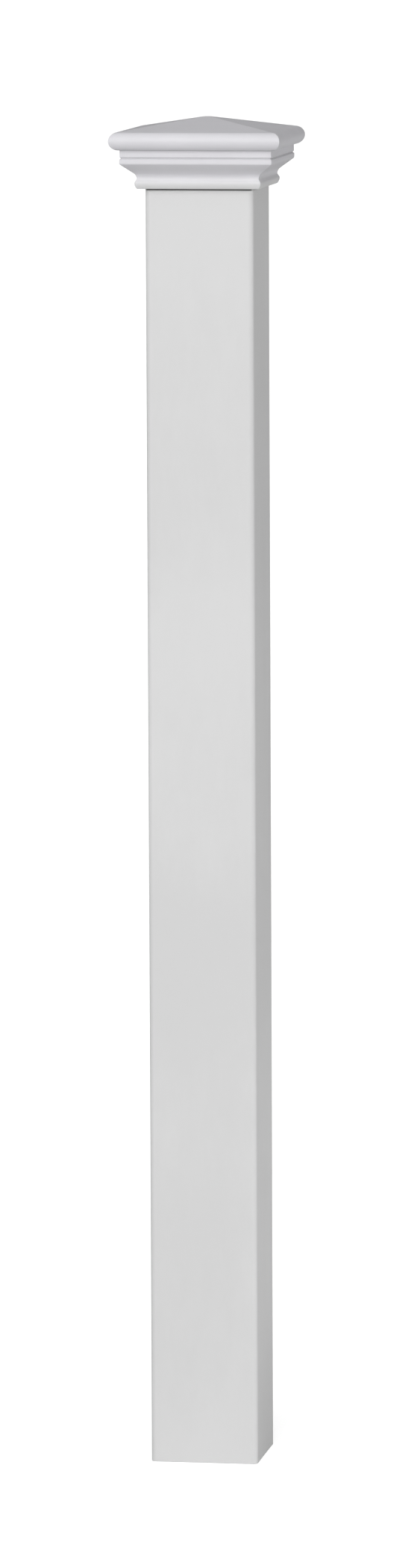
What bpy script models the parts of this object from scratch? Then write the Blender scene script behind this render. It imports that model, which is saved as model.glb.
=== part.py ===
# A hollow square vinyl fence post, standing on its cut end, under a moulded cap with a low pyramid roof.
# Metres, +Z up. The origin is at the centre of the post's foot, and the post's faces look along X and Y.
import math

import bmesh
import bpy
from mathutils import Matrix, Vector

# The post: a square extrusion, sawn square at both ends.
POST_WIDTH = 0.1016  # 4 in over the faces
POST_LENGTH = 1.2192  # 48 in
POST_WALL = 0.0038
POST_OUTER_RADIUS = 0.0048
POST_INNER_RADIUS = 0.0020

# How the cap sits on the post.
CAP_OVERLAP = 0.0185  # from the cap's lip up to the post's top end
LIP_GAP = 0.0022  # open gap all round between the lip and the post
SEAT_GAP = 0.0003  # between the post's top end and the ribs that rest on it
RIB_CLEARANCE = 0.0003  # between the post's bore and the ribs that centre the cap in it

# The cap's moulding, from the lip upwards. Bulges, reaches and overhangs run outwards, and insets back.
LIP_THICKNESS = 0.0042
BEAD_BULGE = 0.0021  # the bead stands this far out from the lip
BEAD_HEIGHT = 0.0053  # from the lip up to the bead's widest line
NECK_INSET = 0.0019
NECK_RISE = 0.0043
COVE_RADIUS = 0.0060
COVE_REACH = 0.0140  # out to the fillet, and up to its lower edge
COVE_RISE = 0.0141
FILLET_HEIGHT = 0.0042
QUIRK_HEIGHT = 0.0020
QUIRK_DEPTH = 0.0012
FASCIA_SETBACK = 0.0003
FASCIA_HEIGHT = 0.0063
RIM_OVERHANG = 0.0007  # flat underside between the fascia and the round of the rim
RIM_RADIUS = 0.0085
ROOF_RISE = 0.0122
APEX_ROUNDING = 0.0050  # the roof's planes run into a soft tip from this half width

# The cap's inside.
CAP_WALL = 0.0026
RIB_THICKNESS = 0.0020
RIB_SPACING = 0.0560  # between the two ribs of one side
RIB_DEPTH = 0.0030  # of a rib's tongue, from the bore's wall inwards
RIB_REACH = 0.0120  # of the tongue, down into the bore
RIB_LEAD = 0.0010  # bevel at the tongue's foot

# Faces on the round stretches.
CORNER_STEPS = 6
BEAD_STEPS = 5
NECK_STEPS = 6
COVE_STEPS = 5
QUIRK_STEPS = 4
RIM_STEPS = 16
APEX_STEPS = 3
SHARP_OVER = 30  # degrees: edges that fold more than this are shaded sharp

# Colours are linear red, green and blue.
POST_COLOUR = (0.78, 0.78, 0.77, 1.0)
POST_ROUGHNESS = 0.42
CAP_COLOUR = (0.80, 0.80, 0.83, 1.0)
CAP_ROUGHNESS = 0.38

# Heights above the lip and half widths of the moulding's members.
LIP_IN = POST_WIDTH / 2 + LIP_GAP
LIP_OUT = LIP_IN + LIP_THICKNESS
BEAD_OUT = LIP_OUT + BEAD_BULGE
NECK_OUT = BEAD_OUT - NECK_INSET
FILLET_OUT = NECK_OUT + COVE_REACH
FASCIA_OUT = FILLET_OUT - FASCIA_SETBACK
ROOF_OUT = FASCIA_OUT + RIM_OVERHANG
NECK_Z = BEAD_HEIGHT + NECK_RISE
FILLET_Z = NECK_Z + COVE_RISE
QUIRK_Z = FILLET_Z + FILLET_HEIGHT
FASCIA_Z = QUIRK_Z + QUIRK_HEIGHT
RIM_LOW_Z = FASCIA_Z + FASCIA_HEIGHT
RIM_Z = RIM_LOW_Z + RIM_RADIUS
ROOF_PITCH = math.atan2(ROOF_RISE, ROOF_OUT)
CORNERS = ((1, 1), (-1, 1), (-1, -1), (1, -1))  # signs of a square's corners, one to a quarter turn


def clear_scene():
    for thing in list(bpy.data.objects):
        bpy.data.objects.remove(thing, do_unlink=True)


def plastic(name, colour, roughness):
    material = bpy.data.materials.new(name)
    material.use_nodes = True
    shader = material.node_tree.nodes["Principled BSDF"]
    shader.inputs["Base Color"].default_value = colour
    shader.inputs["Roughness"].default_value = roughness
    shader.inputs["Metallic"].default_value = 0.0
    material.diffuse_color = colour
    return material


def arc(centre, radius_across, radius_up, start, end, steps):
    """Points on an ellipse in the section plane, where a point is (half width, height); angles in radians."""
    turns = [start + (end - start) * i / steps for i in range(steps + 1)]
    return [(centre[0] + radius_across * math.cos(t), centre[1] + radius_up * math.sin(t)) for t in turns]


def s_curve(start, end, steps):
    """A curve that leaves one point and meets the other going straight up."""
    shares = [i / steps for i in range(steps + 1)]
    return [
        (
            start[0] + (end[0] - start[0]) * (1 - math.cos(math.pi * share)) / 2,
            start[1] + (end[1] - start[1]) * share,
        )
        for share in shares
    ]


def cove_touch():
    """Centre of the cove's arc, and the angle on it where the straight slope to the fillet touches it."""
    centre = (NECK_OUT + COVE_RADIUS, NECK_Z)
    across, up = FILLET_OUT - centre[0], FILLET_Z - centre[1]
    return centre, math.atan2(up, across) + math.acos(COVE_RADIUS / math.hypot(across, up))


def outer_section():
    """The cap's outside from the lip's outer edge up to the roof's edge."""
    bead_radius = (BEAD_BULGE**2 + BEAD_HEIGHT**2) / (2 * BEAD_BULGE)
    bead_start = -math.asin(BEAD_HEIGHT / bead_radius)
    bead_centre = (BEAD_OUT - bead_radius, BEAD_HEIGHT)
    bead = arc(bead_centre, bead_radius, bead_radius, bead_start, 0, BEAD_STEPS)
    neck = s_curve((BEAD_OUT, BEAD_HEIGHT), (NECK_OUT, NECK_Z), NECK_STEPS)
    cove_centre, touch = cove_touch()
    cove = arc(cove_centre, COVE_RADIUS, COVE_RADIUS, math.pi, touch, COVE_STEPS)
    fillet = [(FILLET_OUT, FILLET_Z), (FILLET_OUT, QUIRK_Z)]
    quirk_centre = (FASCIA_OUT, QUIRK_Z + QUIRK_HEIGHT / 2)
    quirk_depth = QUIRK_DEPTH - FASCIA_SETBACK
    quirk = arc(quirk_centre, quirk_depth, QUIRK_HEIGHT / 2, 1.5 * math.pi, 0.5 * math.pi, QUIRK_STEPS)
    rim = arc((ROOF_OUT, RIM_Z), RIM_RADIUS, RIM_RADIUS, -math.pi / 2, math.pi / 2, RIM_STEPS)
    return bead + neck[1:] + cove[1:] + fillet + quirk + [(FASCIA_OUT, RIM_LOW_Z)] + rim


def slope_line(depth):
    """The line under the cove's slope at a depth inside the wall: a point on it, and its tangent."""
    slope = cove_touch()[1] - math.pi / 2
    point = (FILLET_OUT - depth * math.sin(slope), FILLET_Z + depth * math.cos(slope))
    return point, math.tan(slope)


def slope_height(half_width, depth):
    (across, up), tangent = slope_line(depth)
    return up + (half_width - across) * tangent


def slope_width(height, depth):
    (across, up), tangent = slope_line(depth)
    return across + (height - up) / tangent


def inner_section():
    """The cap's inside, from the edge of the roof's underside down to the lip's inner edge."""
    rim_radius = RIM_RADIUS - CAP_WALL
    rim = arc((ROOF_OUT, RIM_Z), rim_radius, rim_radius, math.pi / 2, -math.pi / 2, RIM_STEPS)
    wall = FASCIA_OUT - CAP_WALL
    return rim + [
        (wall, RIM_Z - rim_radius),
        (wall, slope_height(wall, CAP_WALL)),
        (LIP_IN, slope_height(LIP_IN, CAP_WALL)),
        (LIP_IN, 0.0),
    ]


def rib_section():
    """A rib's outline: a tongue in the post's bore, a seat over the post's end, and a root in the cap's wall."""
    guide = POST_WIDTH / 2 - POST_WALL - RIB_CLEARANCE
    inner = guide - RIB_DEPTH
    foot = CAP_OVERLAP - RIB_REACH
    seat = CAP_OVERLAP + SEAT_GAP
    root = CAP_WALL / 2
    wall = FASCIA_OUT - root
    outline = [(inner, foot), (guide - RIB_LEAD, foot), (guide, foot + RIB_LEAD), (guide, seat)]
    if seat < slope_height(wall, root):
        outline += [(slope_width(seat, root), seat), (wall, slope_height(wall, root))]
    else:
        outline.append((wall, seat))
    return outline + [(wall, RIM_LOW_Z), (inner, RIM_LOW_Z)]


def square(half_width):
    """A square's corners, anticlockwise from above."""
    return [(half_width * x, half_width * y) for x, y in CORNERS]


def rounded_square(half_width, radius):
    """A square with rounded corners, anticlockwise from above."""
    reach = half_width - radius
    points = []
    for quarter, (x, y) in enumerate(CORNERS):
        for step in range(CORNER_STEPS + 1):
            turn = math.radians(90 * (quarter + step / CORNER_STEPS))
            points.append((reach * x + radius * math.cos(turn), reach * y + radius * math.sin(turn)))
    return points


def ring(shape, outline, height):
    return [shape.verts.new((x, y, height)) for x, y in outline]


def bridge(shape, first, second):
    """Faces between two rings of as many points."""
    for i in range(len(first)):
        j = (i + 1) % len(first)
        shape.faces.new((first[i], first[j], second[j], second[i]))


def roof(shape, edge):
    """A pyramid over a ring, with its planes at the roof's pitch, easing into a soft tip."""
    peak = edge[0].co.z + ROOF_RISE
    slope = math.tan(ROOF_PITCH)
    below = edge
    for step in range(APEX_STEPS):
        half = APEX_ROUNDING * (1 - step / APEX_STEPS)
        drop = slope * (APEX_ROUNDING + half**2 / APEX_ROUNDING) / 2
        above = ring(shape, square(half), peak - drop)
        bridge(shape, below, above)
        below = above
    tip = shape.verts.new((0, 0, peak - slope * APEX_ROUNDING / 2))
    for i in range(len(below)):
        shape.faces.new((below[i], below[(i + 1) % len(below)], tip))


def object_from(name, shape, material=None):
    mesh = bpy.data.meshes.new(name)
    bmesh.ops.recalc_face_normals(shape, faces=shape.faces)
    shape.to_mesh(mesh)
    shape.free()
    made = bpy.data.objects.new(name, mesh)
    if material:
        mesh.materials.append(material)
    bpy.context.scene.collection.objects.link(made)
    return made


def shade_round(made):
    made.data.shade_smooth()
    made.data.set_sharp_from_angle(angle=math.radians(SHARP_OVER))


def make_post(material):
    """The hollow extrusion: an outer and an inner skin, joined by the cut ends."""
    half = POST_WIDTH / 2
    outer = rounded_square(half, POST_OUTER_RADIUS)
    inner = rounded_square(half - POST_WALL, POST_INNER_RADIUS)
    shape = bmesh.new()
    rings = [
        ring(shape, inner, 0),
        ring(shape, outer, 0),
        ring(shape, outer, POST_LENGTH),
        ring(shape, inner, POST_LENGTH),
    ]
    for first, second in zip(rings, rings[1:] + rings[:1]):
        bridge(shape, first, second)
    post = object_from("post", shape, material)
    shade_round(post)
    return post


def make_ribs():
    """The ribs inside the cap, two to a side, as a helper that the cap's Boolean joins to the shell."""
    shape = bmesh.new()
    for side in range(4):
        turn = Matrix.Rotation(math.radians(90 * side), 3, "Z")
        for offset in (-RIB_SPACING / 2, RIB_SPACING / 2):
            near, far = [
                [shape.verts.new(turn @ Vector((x, offset + half, z))) for x, z in rib_section()]
                for half in (-RIB_THICKNESS / 2, RIB_THICKNESS / 2)
            ]
            bridge(shape, near, far)
            shape.faces.new(near)
            shape.faces.new(reversed(far))
    ribs = object_from("cap_ribs", shape)
    ribs.hide_render = True
    ribs.display_type = "WIRE"
    return ribs


def make_cap(material):
    """The moulded cap: a mitred shell under a pyramid roof, open below, with ribs inside."""
    shape = bmesh.new()
    outside = [ring(shape, square(half), z) for half, z in outer_section()]
    inside = [ring(shape, square(half), z) for half, z in inner_section()]
    for skin in (outside, inside):
        for lower, upper in zip(skin, skin[1:]):
            bridge(shape, lower, upper)
    bridge(shape, inside[-1], outside[0])
    roof(shape, outside[-1])
    roof(shape, inside[0])
    cap = object_from("cap", shape, material)
    shade_round(cap)
    ribs = make_ribs()
    join = cap.modifiers.new("ribs", "BOOLEAN")
    join.operation = "UNION"
    join.solver = "EXACT"
    join.object = ribs
    ribs.parent = cap
    cap.location.z = POST_LENGTH - CAP_OVERLAP
    return cap


def main():
    clear_scene()
    make_post(plastic("post vinyl", POST_COLOUR, POST_ROUGHNESS))
    make_cap(plastic("cap vinyl", CAP_COLOUR, CAP_ROUGHNESS))


main()
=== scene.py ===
# Looks of a white vinyl fence post: the extruded tube, its moulded cap, and the pale studio they stand in.
import math

import bmesh
import bpy
from mathutils import Matrix, Vector


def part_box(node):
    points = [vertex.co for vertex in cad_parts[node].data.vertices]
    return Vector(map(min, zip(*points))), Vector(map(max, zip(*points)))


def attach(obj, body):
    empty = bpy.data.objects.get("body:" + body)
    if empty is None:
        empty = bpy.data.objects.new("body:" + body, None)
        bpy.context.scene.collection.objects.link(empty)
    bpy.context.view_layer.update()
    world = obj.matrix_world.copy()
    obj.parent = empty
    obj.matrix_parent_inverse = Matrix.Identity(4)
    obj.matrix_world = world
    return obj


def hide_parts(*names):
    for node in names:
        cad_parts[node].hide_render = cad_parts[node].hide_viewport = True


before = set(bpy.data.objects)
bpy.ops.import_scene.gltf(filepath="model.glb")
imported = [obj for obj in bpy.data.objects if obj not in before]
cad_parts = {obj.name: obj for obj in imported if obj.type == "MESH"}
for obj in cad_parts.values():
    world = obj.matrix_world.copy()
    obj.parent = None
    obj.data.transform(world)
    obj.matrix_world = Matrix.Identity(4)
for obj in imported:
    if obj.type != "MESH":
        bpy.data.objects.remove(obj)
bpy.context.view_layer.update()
print("frame loaded:", ", ".join(sorted(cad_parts)))

# a long lens, a little to the post's right and a little above its top
cameraPlace = {
    "turn": 9.169,  # degrees round from the post's front
    "distance": 8.065,
    "height": 1.615,
    "aimHeight": 0.639,
    "focalPixels": 11572.0,  # focal length, in pixels of the photograph
    "photoHeight": 2100,
    "lean": 0.243,  # degrees that the photograph's uprights lean to the left
    "sensor": 36.0,
    "farthest": 500.0,
}


def makeCamera():
    turn = math.radians(cameraPlace["turn"])
    data = bpy.data.cameras.new("photoCamera")
    data.sensor_width = cameraPlace["sensor"]
    data.lens = cameraPlace["focalPixels"] * cameraPlace["sensor"] / cameraPlace["photoHeight"]
    data.clip_end = cameraPlace["farthest"]
    camera = bpy.data.objects.new("photoCamera", data)
    level = Vector((math.sin(turn), -math.cos(turn), 0.0)) * cameraPlace["distance"]
    place = level + Vector((0.0, 0.0, cameraPlace["height"]))
    look = Vector((0.0, 0.0, cameraPlace["aimHeight"])) - place
    aimed = look.to_track_quat("-Z", "Y").to_matrix().to_4x4()
    lean = Matrix.Rotation(-math.radians(cameraPlace["lean"]), 4, "Z")
    camera.matrix_world = Matrix.Translation(place) @ aimed @ lean
    bpy.context.scene.collection.objects.link(camera)
    bpy.context.scene.camera = camera


makeCamera()
print("camera placed")


# a value travelling through a material, so that plain arithmetic adds the Math nodes
class Wire:
    def __init__(self, paint, socket):
        self.paint = paint
        self.socket = socket

    def math(self, kind, first, second):
        return self.paint.node("ShaderNodeMath", {"operation": kind}, {0: first, 1: second})

    def __add__(self, other):
        return self.math("ADD", self, other)

    def __radd__(self, other):
        return self.math("ADD", other, self)

    def __sub__(self, other):
        return self.math("SUBTRACT", self, other)

    def __rsub__(self, other):
        return self.math("SUBTRACT", other, self)

    def __mul__(self, other):
        return self.math("MULTIPLY", self, other)


# a material, or the world's, while it is being built
class Paint:
    def __init__(self, owner):
        owner.use_nodes = True
        self.tree = owner.node_tree

    def plug(self, target, value):
        if isinstance(value, Wire):
            self.tree.links.new(value.socket, target)
        else:
            target.default_value = value

    def node(self, kind, settings=None, values=None, output=0):
        made = self.tree.nodes.new(kind)
        for key, value in (settings or {}).items():
            if key == "stops":
                self.fillRamp(made.color_ramp, value)
            else:
                setattr(made, key, value)
        for key, value in (values or {}).items():
            self.plug(made.inputs[key], value)
        return Wire(self, made.outputs[output])

    def fillRamp(self, ramp, stops):
        while len(ramp.elements) < len(stops):
            ramp.elements.new(0.5)
        for element, (position, level) in zip(ramp.elements, stops):
            element.position = position
            element.color = grey(level)

    def feed(self, shaderNode, values):
        for key, value in values.items():
            self.plug(self.tree.nodes[shaderNode].inputs[key], value)

    def noise(self, scale, detail=2.0, roughness=0.5):
        # object space drawn out or squeezed along its axes; scale is in ripples a metre
        place = self.node("ShaderNodeTexCoord", output="Object")
        drawn = self.node("ShaderNodeVectorMath", {"operation": "MULTIPLY"}, {0: place, 1: scale})
        values = {"Vector": drawn, "Scale": 1.0, "Detail": detail, "Roughness": roughness}
        return self.node("ShaderNodeTexNoise", None, values, "Fac")

    def along(self, axis):
        place = self.node("ShaderNodeTexCoord", output="Object")
        return self.node("ShaderNodeSeparateXYZ", None, {"Vector": place}, axis)

    def facing(self, axis, low, high):
        # 1 on faces that look straight along the axis, either way
        normal = self.node("ShaderNodeNewGeometry", output="True Normal")
        share = self.node("ShaderNodeSeparateXYZ", None, {"Vector": normal}, axis)
        return self.eased(share * share, low, high)

    def inside(self):
        # the mesh's own mark, 1 on the faces that line a hollow
        return self.node("ShaderNodeAttribute", {"attribute_name": "inside"}, None, "Fac")

    def eased(self, value, low, high):
        # 0 below low and 1 above high
        values = {"Value": value, "From Min": low, "From Max": high}
        return self.node("ShaderNodeMapRange", {"interpolation_type": "SMOOTHSTEP"}, values, "Result")

    def blend(self, factor, first, second):
        values = {"Factor": factor, 6: first, 7: second}
        return self.node("ShaderNodeMix", {"data_type": "RGBA"}, values, 2)

    def bumped(self, height, depth):
        values = {"Height": height, "Distance": depth, "Strength": 1.0}
        return self.node("ShaderNodeBump", None, values, "Normal")

    def mottled(self, share, look, tint=(1.0, 1.0, 1.0)):
        # from the vinyl's darkest clouds to its lightest
        dark, light = look["shade"] - look["mottle"], look["shade"] + look["mottle"]
        return self.blend(share, grey(dark, tint), grey(light, tint))

    def splitForEye(self, outputNode, litNode, seen):
        # one shader as a source of light, another for the camera
        lit = Wire(self, self.tree.nodes[litNode].outputs[0])
        eye = self.node("ShaderNodeLightPath", None, None, "Is Camera Ray")
        mixed = self.node("ShaderNodeMixShader", None, {0: eye, 1: lit, 2: seen})
        self.feed(outputNode, {"Surface": mixed})


def grey(level, tint=(1.0, 1.0, 1.0)):
    return (level * tint[0], level * tint[1], level * tint[2], 1.0)


def makeObject(name, shape):
    mesh = bpy.data.meshes.new(name)
    shape.to_mesh(mesh)
    shape.free()
    made = bpy.data.objects.new(name, mesh)
    bpy.context.scene.collection.objects.link(made)
    return made


# the floor and the sky are plain white to the camera, and dimmer as a source of light
studio = {
    "floorReach": 150.0,
    "floorSquares": 8,
    "floorGrey": 0.72,
    "floorNear": 0.48,  # its grey close round the post, so that the foot stays as even as the rest
    "nearRange": (0.05, 0.80),  # how far from the post that passes into the other grey
    "floorWhite": 0.95,
    "floorGlow": 0.60,
    "nadir": 0.10,
    "horizon": 0.10,
    "zenith": 0.60,
    "behind": 0.30,  # how much of that is left behind the post
    "behindRange": (-0.3, 0.7),  # where the sky dims, from -1 in front to 1 behind
}


def makeFloor():
    shape = bmesh.new()
    squares = studio["floorSquares"]
    bmesh.ops.create_grid(shape, x_segments=squares, y_segments=squares, size=studio["floorReach"])
    floor = makeObject("studioFloor", shape)
    material = bpy.data.materials.new("paleFloor")
    paint = Paint(material)
    place = paint.node("ShaderNodeTexCoord", output="Object")
    away = paint.node("ShaderNodeVectorMath", {"operation": "LENGTH"}, {0: place}, "Value")
    far = paint.eased(away, *studio["nearRange"])
    colour = paint.blend(far, grey(studio["floorNear"]), grey(studio["floorGrey"]))
    paint.feed("Principled BSDF", {"Base Color": colour, "Roughness": 1.0})
    seenValues = {
        "Base Color": grey(studio["floorWhite"]),
        "Roughness": 1.0,
        "Emission Color": grey(1.0),
        "Emission Strength": studio["floorGlow"],
    }
    seen = paint.node("ShaderNodeBsdfPrincipled", None, seenValues)
    paint.splitForEye("Material Output", "Principled BSDF", seen)
    floor.data.materials.append(material)


def makeSky():
    world = bpy.data.worlds.new("studioSky")
    bpy.context.scene.world = world
    bpy.context.scene.view_settings.view_transform = "Standard"  # so that white stays white
    paint = Paint(world)
    direction = paint.node("ShaderNodeTexCoord", output="Generated")
    rise = paint.node("ShaderNodeSeparateXYZ", None, {"Vector": direction}, "Z")
    depth = paint.node("ShaderNodeSeparateXYZ", None, {"Vector": direction}, "Y")
    stops = [(0.0, studio["nadir"]), (0.5, studio["horizon"]), (1.0, studio["zenith"])]
    glow = paint.node("ShaderNodeValToRGB", {"stops": stops}, {"Fac": rise * 0.5 + 0.5})
    share = 1 - paint.eased(depth, *studio["behindRange"]) * (1 - studio["behind"])
    paint.feed("Background", {"Color": glow, "Strength": share})
    white = paint.node("ShaderNodeBackground", None, {"Color": grey(1.0)})
    paint.splitForEye("World Output", "Background", white)


# wide, far lamps: turn is in degrees round from the front to the right, spread is their width in the sky,
# and glints is whether the vinyl shows them in its gloss
lamps = {
    "key": {"strength": 1.70, "turn": -10.0, "rise": 20.0, "spread": 50.0, "glints": True},
    "side": {"strength": 1.17, "turn": 95.0, "rise": -3.0, "spread": 50.0, "glints": True},
    "back": {"strength": 0.70, "turn": -145.0, "rise": 4.0, "spread": 40.0, "glints": False},
}
lampDistance = 6.0  # only keeps them clear of the post, since a far lamp shines the same from anywhere


def makeLamp(name, lamp):
    data = bpy.data.lights.new(name, "SUN")
    data.energy = lamp["strength"]
    data.angle = math.radians(lamp["spread"])
    turn, rise = math.radians(lamp["turn"]), math.radians(lamp["rise"])
    level = math.cos(rise)
    toLamp = Vector((math.sin(turn) * level, -math.cos(turn) * level, math.sin(rise)))
    lampObject = bpy.data.objects.new(name, data)
    lampObject.rotation_euler = toLamp.to_track_quat("Z", "Y").to_euler()
    lampObject.location = toLamp * lampDistance
    lampObject.visible_glossy = lamp["glints"]
    bpy.context.scene.collection.objects.link(lampObject)


# a low panel at the right, close enough that the side fades upwards
panel = {"power": 1.6, "size": 0.5, "place": (0.8, -0.1, 0.07), "aim": (0.0, 0.0, 0.07)}


def makePanel():
    data = bpy.data.lights.new("panel", "AREA")
    data.energy = panel["power"]
    data.size = panel["size"]
    panelObject = bpy.data.objects.new("panel", data)
    place = Vector(panel["place"])
    panelObject.location = place
    panelObject.rotation_euler = (place - Vector(panel["aim"])).to_track_quat("Z", "Y").to_euler()
    panelObject.visible_camera = False
    panelObject.visible_glossy = False
    bpy.context.scene.collection.objects.link(panelObject)


makeFloor()
makeSky()
for lampName in lamps:
    makeLamp(lampName, lamps[lampName])
makePanel()
print("studio lit")


corners = ((1, 1), (-1, 1), (-1, -1), (1, -1))


def squareOutline(half, radius, cornerSteps, sideSteps=1, hollow=0.0):
    # a square with rounded corners, anticlockwise; hollow draws the middles of its sides inwards
    reach = half - radius
    points = []
    for quarter, (x, y) in enumerate(corners):
        for step in range(cornerSteps + 1):
            turn = math.radians(90 * (quarter + step / cornerSteps))
            corner = (reach * x + radius * math.cos(turn), reach * y + radius * math.sin(turn))
            points.append(Vector(corner))
        turn = math.radians(90 * (quarter + 1))
        outwards = Vector((math.cos(turn), math.sin(turn)))
        along = Vector((-math.sin(turn), math.cos(turn)))
        for step in range(1, sideSteps):
            share = step / sideSteps
            dip = 4 * share * (1 - share) * hollow
            points.append(outwards * (half - dip) + along * reach * (2 * share - 1))
    return points


def addRing(shape, outline, height):
    return [shape.verts.new((point.x, point.y, height)) for point in outline]


def joinRings(shape, first, second, insideMark, inside):
    for i in range(len(first)):
        j = (i + 1) % len(first)
        face = shape.faces.new((first[i], first[j], second[j], second[i]))
        face[insideMark] = inside
        face.smooth = True


def closeRing(shape, rim, height, insideMark, inside):
    tip = shape.verts.new((0.0, 0.0, height))
    for i in range(len(rim)):
        face = shape.faces.new((rim[i], rim[(i + 1) % len(rim)], tip))
        face[insideMark] = inside
        face.smooth = True


def addPiece(name, shape, node, material):
    bmesh.ops.recalc_face_normals(shape, faces=shape.faces)
    piece = makeObject(name, shape)
    piece.data.materials.append(material)
    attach(piece, "root")
    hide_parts(node)
    return piece


def evenNormals(piece):
    # big flats keep their own shading beside their small round edges
    shading = piece.modifiers.new("evenNormals", "WEIGHTED_NORMAL")
    shading.keep_sharp = True


# the post, as it comes from the extruder and the saw
post = {
    "wall": 0.0038,
    "outerRadius": 0.0048,
    "innerRadius": 0.0020,
    "hollow": 0.00015,  # how far the faces draw in as the vinyl cools
    "ripple": 0.00005,  # and how much that varies up the post
    "ripplesUp": 7.0,
    "sawBreak": 0.0004,  # bevel left by cleaning the cut ends
    "cornerSteps": 12,
    "sideSteps": 12,
    "lengthSteps": 48,
    "vinyl": {
        "shade": 0.792,
        "mottle": 0.030,
        "cloud": (4.0, 4.0, 3.0),
        "cloudDetail": 1.5,
        "cloudRange": (0.36, 0.64),  # the noise that runs from the darkest to the lightest
        "speck": (70.0, 70.0, 24.0),
        "speckDetail": 4.0,
        "speckFineness": 0.6,
        "speckShare": 0.15,  # of the mottle; the clouds make the rest
        "cutFaces": (0.90, 0.98),  # how squarely a face looks up or down to count as sawn
        "cutShade": 0.93,  # of the shade above
        "cutStrength": 0.6,
        "paintedShadowShade": 0.135,  # a painted shadow line under the cap's lip
        "paintedShadowHeight": 0.0017,
        "paintedShadowEdge": 0.00015,
        "paintedShadowFaces": (0.3, 0.7),  # how squarely a face looks to the front or back to have all of it
        "paintedShadowOnSides": 0.30,  # how much of it the left and right faces have
        "paintedLightShade": 0.93,  # painted light: a lighter band just below it that lifts the lip's shadow
        "paintedLightReach": 0.0038,
        "paintedLightEnds": (-0.050, -0.046),  # only on the front, so it ends on the corners
        "roughness": 0.45,
        "speckRoughness": 0.10,
        "lineRoughness": 0.06,
        "insideRoughness": 0.52,
        "cutRoughness": 0.66,
        "dieLines": (900.0, 900.0, 1.6),
        "lineRelief": 0.16,
        "waves": (55.0, 55.0, 2.2),
        "sawLines": (35.0, 1400.0, 35.0),
        "sawRelief": 0.9,
        "depth": 0.00004,
    },
}


def makePostVinyl():
    look = post["vinyl"]
    material = bpy.data.materials.new("extrudedVinyl")
    paint = Paint(material)
    cloud = paint.noise(look["cloud"], look["cloudDetail"])
    speck = paint.noise(look["speck"], look["speckDetail"], look["speckFineness"])
    cloudy = cloud * (1 - look["speckShare"]) + speck * look["speckShare"]
    colour = paint.mottled(paint.eased(cloudy, *look["cloudRange"]), look)
    cut = paint.facing("Z", *look["cutFaces"])
    colour = paint.blend(cut * look["cutStrength"], colour, grey(look["shade"] * look["cutShade"]))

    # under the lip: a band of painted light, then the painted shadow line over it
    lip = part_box("cap")[0].z
    under, over = lip - look["paintedShadowHeight"], lip + look["paintedShadowHeight"]
    height = paint.along("Z")
    # painted light: a lighter band on the front, just under the painted shadow line
    frontOnly = 1 - paint.eased(paint.along("Y"), *look["paintedLightEnds"])
    paintedLight = paint.eased(height, under - look["paintedLightReach"], under) * frontOnly
    colour = paint.blend(paintedLight, colour, grey(look["paintedLightShade"]))
    # painted shadow: a dark line just under the lip, fainter on the left and right faces
    edge = look["paintedShadowEdge"]
    paintedShadow = paint.eased(height, under - edge, under + edge) - paint.eased(height, lip, over)
    paintedShadow = paintedShadow * (paint.facing("Y", *look["paintedShadowFaces"]) * (1 - look["paintedShadowOnSides"]) + look["paintedShadowOnSides"])
    colour = paint.blend(paintedShadow, colour, grey(look["paintedShadowShade"]))

    lines = paint.noise(look["dieLines"])
    waves = paint.noise(look["waves"], detail=1.0)
    saw = paint.noise(look["sawLines"])
    rough = look["roughness"] + (speck - 0.5) * look["speckRoughness"]
    rough = rough + (lines - 0.5) * look["lineRoughness"]
    rough = rough + paint.inside() * (look["insideRoughness"] - look["roughness"])
    rough = rough + cut * (look["cutRoughness"] - look["roughness"])
    relief = waves + lines * look["lineRelief"] + cut * saw * look["sawRelief"]
    normal = paint.bumped(relief, look["depth"])
    paint.feed("Principled BSDF", {"Base Color": colour, "Roughness": rough, "Normal": normal})
    return material


def makePost():
    low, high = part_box("post")
    half = high.x
    inner = half - post["wall"]
    saw = post["sawBreak"]
    outerRadius, innerRadius = post["outerRadius"], post["innerRadius"]
    span = high.z - low.z
    steps = post["lengthSteps"]
    heights = [low.z + saw + (span - 2 * saw) * step / steps for step in range(steps + 1)]

    # half width, corner radius and height of each ring, up the outside and then down the bore
    layout = [(half - saw, outerRadius - saw, low.z)]
    layout += [(half, outerRadius, height) for height in heights]
    layout.append((half - saw, outerRadius - saw, high.z))
    wallRings = len(layout)
    layout.append((inner + saw, innerRadius + saw, high.z))
    layout += [(inner, innerRadius, height) for height in reversed(heights)]
    layout.append((inner + saw, innerRadius + saw, low.z))

    shape = bmesh.new()
    mark = shape.faces.layers.float.new("inside")
    rings = []
    for size, radius, height in layout:
        swell = post["ripple"] * math.sin(2 * math.pi * post["ripplesUp"] * (height - low.z))
        dip = post["hollow"] + swell
        outline = squareOutline(size, radius, post["cornerSteps"], post["sideSteps"], dip)
        rings.append(addRing(shape, outline, height))
    for place, ring in enumerate(rings):
        inside = 1.0 if wallRings <= place < len(rings) - 1 else 0.0
        joinRings(shape, ring, rings[(place + 1) % len(rings)], mark, inside)
    evenNormals(addPiece("postTube", shape, "post", makePostVinyl()))


makePost()
print("post extruded")


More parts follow.
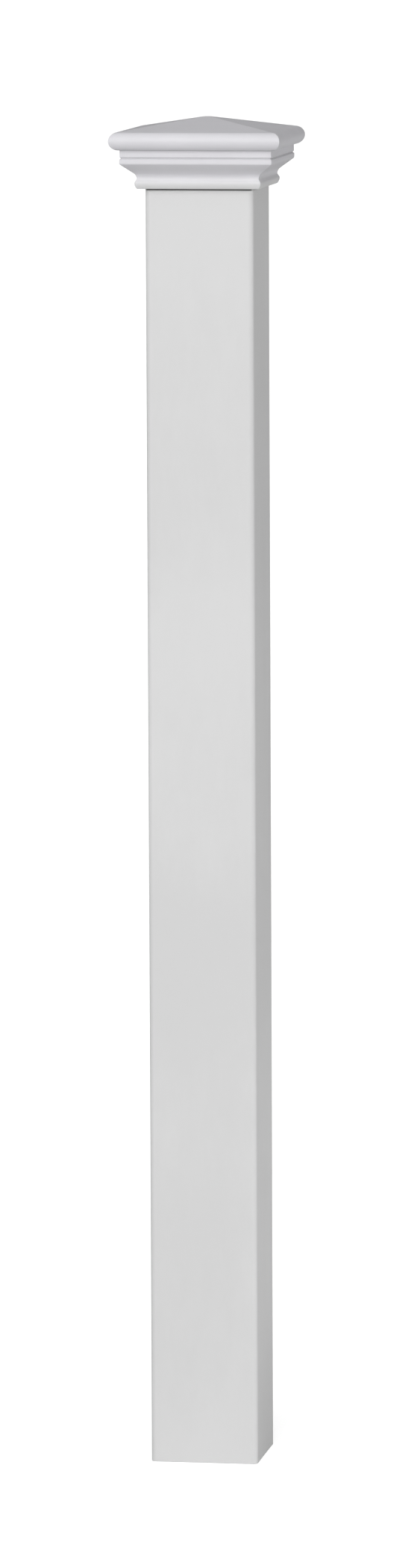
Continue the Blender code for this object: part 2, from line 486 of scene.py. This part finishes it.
# the cap's moulding, in section: half widths run out from the post's axis, heights up from the lip
cap = {
    "lipGap": 0.0022,
    "lipThickness": 0.0042,
    "beadBulge": 0.0021,
    "beadHeight": 0.0053,
    "beadFullness": 2.0,
    "neckInset": 0.0019,
    "neckRise": 0.0043,
    "coveRadius": 0.0060,
    "coveReach": 0.0140,
    "coveRise": 0.0138,
    "filletHeight": 0.0043,
    "quirkHeight": 0.0022,
    "quirkDepth": 0.0012,
    "quirkRoot": (0.35, 0.70),  # its flat root, in heights of the quirk from the fascia down
    "fasciaSetback": 0.0003,
    "fasciaHeight": 0.0063,
    "rimOverhang": 0.0007,
    "rimRadius": 0.0085,
    "roofRise": 0.0122,
    "apexRounding": 0.0052,
    "wall": 0.0026,
    "mitre": 0.0006,  # softness of the corners seen from above
    "mitreShare": 0.7,  # at most this share of the half width, for the roof's tip
    "mitreSteps": 4,
    "arcSteps": 12,
    "rimSteps": 40,
    "easeSteps": 5,
    # the radius that each corner of the section is eased to, down the outside and then up the inside
    "eases": {
        "fasciaTop": 0.0004,
        "fasciaFoot": 0.0003,
        "quirkRoot": 0.0004,
        "filletTop": 0.0005,
        "filletFoot": 0.0020,
        "lip": 0.0010,
        "insideLip": 0.0004,
        "insideCove": 0.0015,
        "insideFascia": 0.0010,
        "insideRim": 0.0006,
    },
    "ribs": {
        "clearance": 0.0003,  # from the bore's wall, and from the post's end
        "overlap": 0.0185,  # from the lip up to the post's end
        "depth": 0.0030,
        "reach": 0.0120,
        "lead": 0.0010,
        "spacing": 0.0560,
        "rootThickness": 0.0022,
        "edgeThickness": 0.0017,
    },
    "vinyl": {
        "shade": 0.845,
        "tint": (0.992, 0.983, 1.024),
        "plainReach": 0.0140,  # the height over which the tint fades out, down to the lip
        "mottle": 0.012,
        "cloud": (18.0, 18.0, 18.0),
        "cloudDetail": 3.0,
        "cloudRange": (0.35, 0.65),
        "creviceShade": 0.66,  # painted shade in the quirk
        "creviceSpread": 0.6,  # half its height, in heights of the quirk
        "rimShade": 0.62,  # painted shade in the corner under the rim
        "rimLift": 0.0003,
        "rimShadeReach": 0.0009,
        "slopeShade": 0.785,  # painted shade on the down-facing slope under the fillet
        "slopePlace": 0.36,  # its middle, in heights of the cove from the fillet down
        "slopeShadeReach": 0.0065,
        "roughness": 0.44,
        "cloudRoughness": 0.10,
        "insideRoughness": 0.50,
        "peel": (420.0, 420.0, 420.0),
        "peelRelief": 0.12,
        "sink": (28.0, 28.0, 28.0),
        "depth": 0.00003,
    },
}


# a band of painted shade, darkest at its middle height
def shadeBand(paint, middle, half):
    # 1 at the middle's height, easing to 0 at half above and below it
    height = paint.along("Z")
    return paint.eased(height, middle - half, middle) * (1 - paint.eased(height, middle, middle + half))


def makeCapVinyl(size, lip):
    look = cap["vinyl"]
    material = bpy.data.materials.new("mouldedVinyl")
    paint = Paint(material)
    cloud = paint.noise(look["cloud"], look["cloudDetail"])
    cloudy = paint.eased(cloud, *look["cloudRange"])
    tinted = paint.eased(paint.along("Z"), lip, lip + look["plainReach"])
    colour = paint.blend(tinted, paint.mottled(cloudy, look), paint.mottled(cloudy, look, look["tint"]))
    quirk = cap["quirkHeight"]
    # middle, half height and shade of each band of painted shade
    paintedShades = (
        (size["fasciaUp"] - quirk / 2, quirk * look["creviceSpread"], look["creviceShade"]),
        (size["rimLow"] + look["rimLift"], look["rimShadeReach"], look["rimShade"]),
        (size["filletUp"] - cap["coveRise"] * look["slopePlace"], look["slopeShadeReach"], look["slopeShade"]),
    )
    # painted shade in the quirk, under the rim and on the slope under the fillet
    for middle, half, shade in paintedShades:
        colour = paint.blend(shadeBand(paint, lip + middle, half), colour, grey(shade, look["tint"]))
    peel = paint.noise(look["peel"])
    sink = paint.noise(look["sink"], detail=1.0)
    rough = look["roughness"] + (cloud - 0.5) * look["cloudRoughness"]
    rough = rough + paint.inside() * (look["insideRoughness"] - look["roughness"])
    normal = paint.bumped(sink + peel * look["peelRelief"], look["depth"])
    paint.feed("Principled BSDF", {"Base Color": colour, "Roughness": rough, "Normal": normal})
    return material


def capSizes(half):
    # the half widths, heights and slope that the members share
    sizes = {"lipIn": half + cap["lipGap"]}
    sizes["lipOut"] = sizes["lipIn"] + cap["lipThickness"]
    sizes["beadOut"] = sizes["lipOut"] + cap["beadBulge"]
    sizes["neckOut"] = sizes["beadOut"] - cap["neckInset"]
    sizes["filletOut"] = sizes["neckOut"] + cap["coveReach"]
    sizes["fasciaOut"] = sizes["filletOut"] - cap["fasciaSetback"]
    sizes["roofOut"] = sizes["fasciaOut"] + cap["rimOverhang"]
    sizes["neckUp"] = cap["beadHeight"] + cap["neckRise"]
    sizes["filletUp"] = sizes["neckUp"] + cap["coveRise"]
    sizes["quirkUp"] = sizes["filletUp"] + cap["filletHeight"]
    sizes["fasciaUp"] = sizes["quirkUp"] + cap["quirkHeight"]
    sizes["rimLow"] = sizes["fasciaUp"] + cap["fasciaHeight"]
    sizes["rimUp"] = sizes["rimLow"] + cap["rimRadius"]
    sizes["peak"] = sizes["rimUp"] + cap["rimRadius"] + cap["roofRise"]
    sizes["roofSlope"] = cap["roofRise"] / sizes["roofOut"]
    return sizes


def arcPoints(centre, radius, start, end, steps):
    turns = [start + (end - start) * step / steps for step in range(steps + 1)]
    x, y = centre
    return [(x + radius * math.cos(turn), y + radius * math.sin(turn), 0.0) for turn in turns]


def touchTurn(centre, radius, point, side):
    # where a straight line to the point leaves the circle
    across, up = point[0] - centre[0], point[1] - centre[1]
    return math.atan2(up, across) + side * math.acos(radius / math.hypot(across, up))


def softened(points):
    # each point is across, up and the radius its corner is eased to; each result keeps its point's place
    steps = cap["easeSteps"]
    eased = []
    for place, (across, up, radius) in enumerate(points):
        here = Vector((across, up))
        if not radius:
            eased.append((here, place))
            continue
        back = (Vector(points[place - 1][:2]) - here).normalized()
        ahead = (Vector(points[place + 1][:2]) - here).normalized()
        opening = back.angle(ahead) / 2
        centre = here + (back + ahead).normalized() * radius / math.sin(opening)
        first = here + back * radius / math.tan(opening) - centre
        last = here + ahead * radius / math.tan(opening) - centre
        for step in range(steps + 1):
            eased.append((centre + first.slerp(last, step / steps) * radius, place))
    return eased


def apexPoints(peak, slope):
    # the roof's planes run into a soft tip
    rounding = cap["apexRounding"]
    halves = [rounding * step / cap["arcSteps"] for step in range(1, cap["arcSteps"] + 1)]
    return [(half, peak - slope * (rounding + half * half / rounding) / 2, 0.0) for half in halves]


def coveCircle(size):
    # the cove's centre, and where its circle passes into the slope up to the fillet
    centre = (size["neckOut"] + cap["coveRadius"], size["neckUp"])
    return centre, touchTurn(centre, cap["coveRadius"], (size["filletOut"], size["filletUp"]), 1)


def outerSection(size):
    eases = cap["eases"]
    rimCentre = (size["roofOut"], size["rimUp"])
    top = touchTurn(rimCentre, cap["rimRadius"], (0.0, size["peak"]), -1)
    rim = arcPoints(rimCentre, cap["rimRadius"], top, -math.pi / 2, cap["rimSteps"])
    slope = (size["peak"] - rim[0][1]) / rim[0][0]
    root = size["filletOut"] - cap["quirkDepth"]
    rootTop, rootFoot = [size["fasciaUp"] - cap["quirkHeight"] * share for share in cap["quirkRoot"]]
    quirk = [
        (size["fasciaOut"], size["rimLow"], eases["fasciaTop"]),
        (size["fasciaOut"], size["fasciaUp"], eases["fasciaFoot"]),
        (root, rootTop, eases["quirkRoot"]),
        (root, rootFoot, eases["quirkRoot"]),
        (size["filletOut"], size["quirkUp"], eases["filletTop"]),
        (size["filletOut"], size["filletUp"], eases["filletFoot"]),
    ]
    coveCentre, touch = coveCircle(size)
    cove = arcPoints(coveCentre, cap["coveRadius"], touch, math.pi, cap["arcSteps"])
    neck = []
    for step in range(1, cap["arcSteps"] + 1):
        share = step / cap["arcSteps"]
        out = size["neckOut"] + cap["neckInset"] * (1 - math.cos(math.pi * share)) / 2
        neck.append((out, size["neckUp"] - cap["neckRise"] * share, 0.0))
    bead = []
    for step in range(1, cap["arcSteps"]):
        share = step / cap["arcSteps"]
        out = size["lipOut"] + cap["beadBulge"] * (1 - share ** cap["beadFullness"])
        bead.append((out, cap["beadHeight"] * (1 - share), 0.0))
    bead.append((size["lipOut"], 0.0, eases["lip"]))
    return apexPoints(size["peak"], slope) + rim + quirk + cove + neck + bead


def slopeLine(size, depth):
    # the line under the cove's slope at a depth inside the wall
    slope = coveCircle(size)[1] - math.pi / 2
    across = size["filletOut"] - depth * math.sin(slope)
    up = size["filletUp"] + depth * math.cos(slope)
    return across, up, math.tan(slope)


def innerSection(size):
    eases = cap["eases"]
    across, up, tangent = slopeLine(size, cap["wall"])
    wall = size["fasciaOut"] - cap["wall"]
    radius = cap["rimRadius"] - cap["wall"]
    rimCentre = (size["roofOut"], size["rimUp"])
    rim = arcPoints(rimCentre, radius, -math.pi / 2, math.pi / 2, cap["arcSteps"])
    rise = [
        (size["lipIn"], 0.0, eases["insideLip"]),
        (size["lipIn"], up + (size["lipIn"] - across) * tangent, eases["insideCove"]),
        (wall, up + (wall - across) * tangent, eases["insideFascia"]),
        (wall, size["rimUp"] - radius, eases["insideRim"]),
    ]
    tip = apexPoints(size["peak"] - cap["wall"], size["roofSlope"])
    return rise + rim + list(reversed(tip))


def ribOutline(size, half):
    ribs = cap["ribs"]
    across, up, tangent = slopeLine(size, cap["wall"] / 2)
    guide = half - post["wall"] - ribs["clearance"]
    edge = guide - ribs["depth"]
    foot = ribs["overlap"] - ribs["reach"]
    seat = ribs["overlap"] + ribs["clearance"]
    wall = size["fasciaOut"] - cap["wall"] / 2
    return [
        (edge, foot),
        (guide - ribs["lead"], foot),
        (guide, foot + ribs["lead"]),
        (guide, seat),
        (across + (seat - up) / tangent, seat),
        (wall, up + (wall - across) * tangent),
        (wall, size["rimLow"]),
        (edge, size["rimLow"]),
    ]


def makeRibs(size, half, lip):
    # two to a side, thinner at the free edge as a mould needs
    ribs = cap["ribs"]
    shape = bmesh.new()
    mark = shape.faces.layers.float.new("inside")
    outline = ribOutline(size, half)
    edge = min(across for across, up in outline)
    span = max(across for across, up in outline) - edge
    for side in range(4):
        turn = Matrix.Rotation(math.radians(90 * side), 3, "Z")
        for middle in (-ribs["spacing"] / 2, ribs["spacing"] / 2):
            flanks = []
            for hand in (-0.5, 0.5):
                flank = []
                for across, up in outline:
                    taper = (across - edge) / span * (ribs["rootThickness"] - ribs["edgeThickness"])
                    offset = middle + hand * (ribs["edgeThickness"] + taper)
                    flank.append(shape.verts.new(turn @ Vector((across, offset, lip + up))))
                flanks.append(flank)
            joinRings(shape, flanks[0], flanks[1], mark, 1.0)
            shape.faces.new(flanks[0])[mark] = 1.0
            shape.faces.new(reversed(flanks[1]))[mark] = 1.0
    bmesh.ops.recalc_face_normals(shape, faces=shape.faces)
    return makeObject("capRibs", shape)


def joinBodies(piece, other):
    # union by Boolean, kept as a plain mesh
    join = piece.modifiers.new("join", "BOOLEAN")
    join.operation = "UNION"
    join.solver = "EXACT"
    join.object = other
    ready = bpy.context.evaluated_depsgraph_get()
    mesh = bpy.data.meshes.new_from_object(piece.evaluated_get(ready))
    piece.modifiers.clear()
    piece.data = mesh
    bpy.data.objects.remove(other, do_unlink=True)


def makeCap():
    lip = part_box("cap")[0].z
    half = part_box("post")[1].x
    size = capSizes(half)
    shape = bmesh.new()
    mark = shape.faces.layers.float.new("inside")
    outside = outerSection(size)
    section = softened(outside + innerSection(size))
    rings = []
    for point, source in section:
        mitre = min(cap["mitre"], point.x * cap["mitreShare"])
        rings.append(addRing(shape, squareOutline(point.x, mitre, cap["mitreSteps"]), lip + point.y))
    for place in range(len(rings) - 1):
        inside = 1.0 if section[place][1] >= len(outside) else 0.0
        joinRings(shape, rings[place], rings[place + 1], mark, inside)
    tip = lip + size["peak"] - size["roofSlope"] * cap["apexRounding"] / 2
    closeRing(shape, rings[0], tip, mark, 0.0)
    closeRing(shape, rings[-1], tip - cap["wall"], mark, 1.0)
    piece = addPiece("mouldedCap", shape, "cap", makeCapVinyl(size, lip))
    joinBodies(piece, makeRibs(size, half, lip))
    evenNormals(piece)


makeCap()
print("cap moulded")
